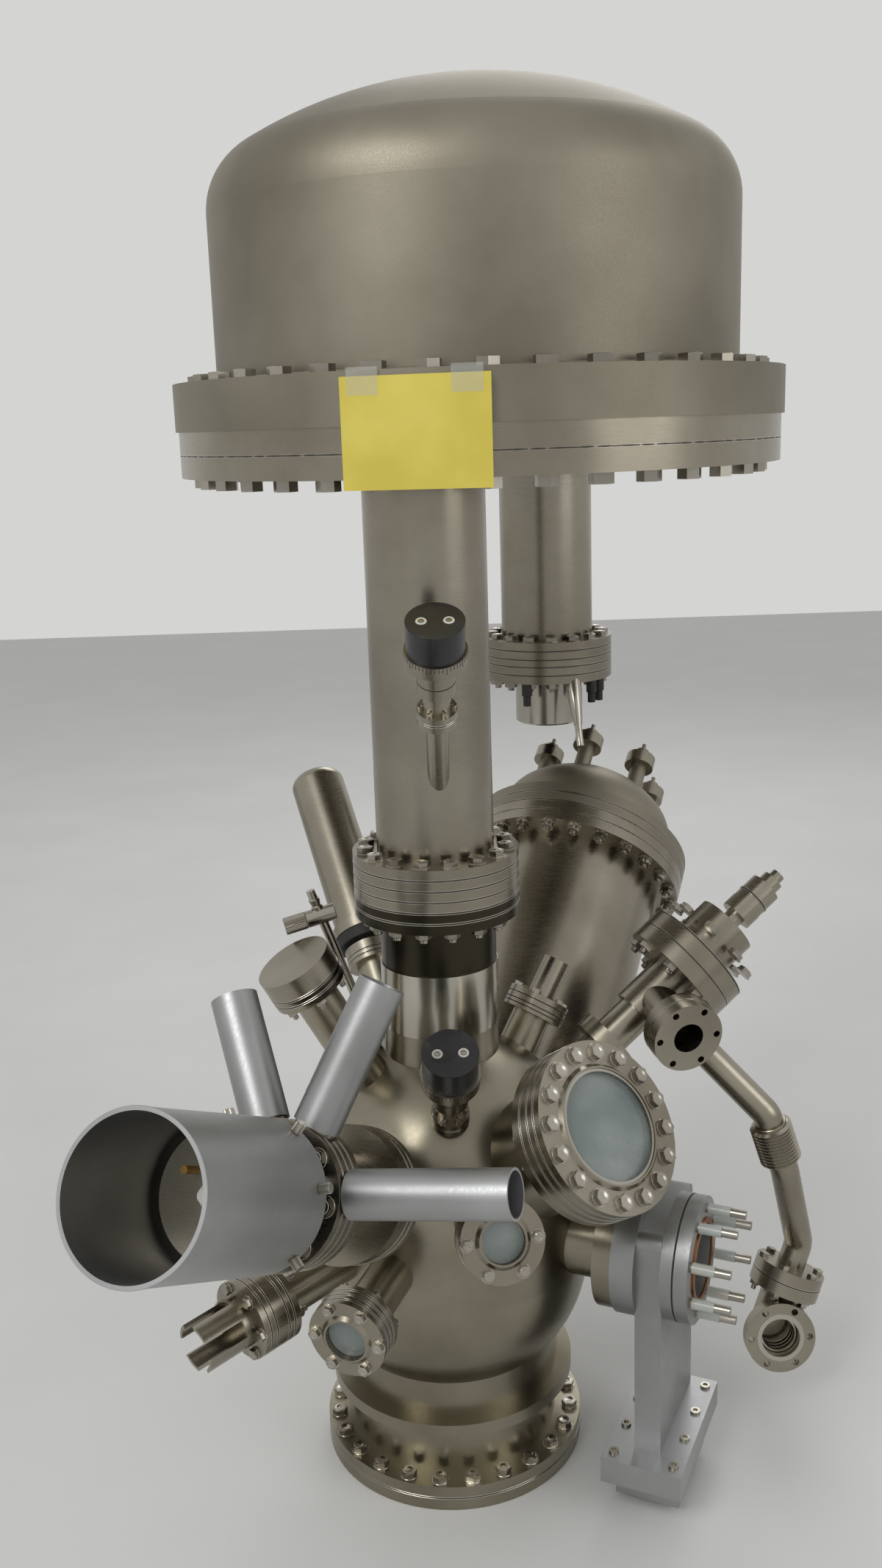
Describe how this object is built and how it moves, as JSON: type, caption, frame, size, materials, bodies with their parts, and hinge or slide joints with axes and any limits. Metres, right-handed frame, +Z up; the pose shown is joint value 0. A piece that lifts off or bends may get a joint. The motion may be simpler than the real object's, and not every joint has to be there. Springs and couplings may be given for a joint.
{
  "type": "ultra-high-vacuum analysis chamber",
  "caption": "Stainless vacuum chamber with a lens column, domed hemispherical analyser housing, viewports, electron gun, ion gun, gate valve and knob drives.",
  "frame": {"origin": "Centre of the underside of the base flange.", "axes": "+X to the right seen from the front, +Y to the back, +Z up along the chamber and lens column."},
  "size_m": [0.6355, 0.9807, 1.2947],
  "materials": {
    "aluminium": "matte machined aluminium",
    "black_plastic": "black knob",
    "bolt_steel": "bright stainless fasteners",
    "brass": "brass contacts",
    "ceramic": "white ceramic",
    "copper": "copper gasket",
    "dark_ring": "dark elastomer ring",
    "stainless": "brushed stainless steel with a warm grey tone",
    "window_glass": "viewport glass",
    "yellow_card": "yellow laminated card"
  },
  "bodies": {
    "chamber": {"analyser_base_plate": "stainless", "analyser_bolts": "bolt_steel", "analyser_dome": "stainless", "analyser_nuts": "bolt_steel", "bellows": "stainless", "big_view_flange": "stainless", "big_view_glass": "window_glass", "chamber_drive_body": "stainless", "column_drive_body": "stainless", "column_spacer": "stainless", "column_tube": "stainless", "copper_gasket": "copper", "detector_cap": "stainless", "detector_column": "stainless", "detector_spacer": "stainless", "flange_bolts": "bolt_steel", "flood_gun": "stainless", "front_view_flange": "stainless", "front_view_glass": "window_glass", "gun_body": "stainless", "gun_ceramic": "ceramic", "gun_head": "stainless", "gun_pins": "brass", "gun_shroud": "aluminium", "gun_side_tubes": "aluminium", "ion_gun_body": "stainless", "ion_gun_head": "stainless", "ion_gun_tip": "stainless", "left_view_flange": "stainless", "left_view_glass": "window_glass", "lens_plate": "stainless", "main_chamber": "stainless", "neck_sleeve": "stainless", "number_card": "yellow_card", "pipe_lower": "stainless", "pipe_upper": "stainless", "rear_cap": "stainless", "rear_feedthroughs": "stainless", "rear_nuts": "bolt_steel", "rear_port": "stainless", "slant_collar": "dark_ring", "slant_tube": "stainless", "slotted_tube": "stainless", "spare_port": "stainless", "tee": "stainless", "valve_actuator": "aluminium", "valve_adapter": "stainless", "valve_body": "aluminium", "valve_bonnet": "aluminium", "valve_studs": "bolt_steel", "vent_blank": "stainless", "viewport_bolts": "bolt_steel"},
    "chamber_drive_knob": {"chamber_drive_knob": "black_plastic"},
    "column_drive_knob": {"column_drive_knob": "black_plastic"},
    "gate_plate": {"gate_plate": "stainless"}
  },
  "joints": [
    {"name": "column_drive_turn", "type": "hinge", "parent": "chamber", "child": "column_drive_knob", "pos_m": [0.00631, -0.12299, 0.8129], "axis": [0.0087, -0.4999, 0.866], "continuous": true},
    {"name": "chamber_drive_turn", "type": "hinge", "parent": "chamber", "child": "chamber_drive_knob", "pos_m": [0.00703, -0.14226, 0.45528], "axis": [0.0185, -0.5296, 0.848], "continuous": true},
    {"name": "gate_slide", "type": "slide", "parent": "chamber", "child": "gate_plate", "axis": [0, 0, -1], "range_m": [0, 0.075]}
  ]
}
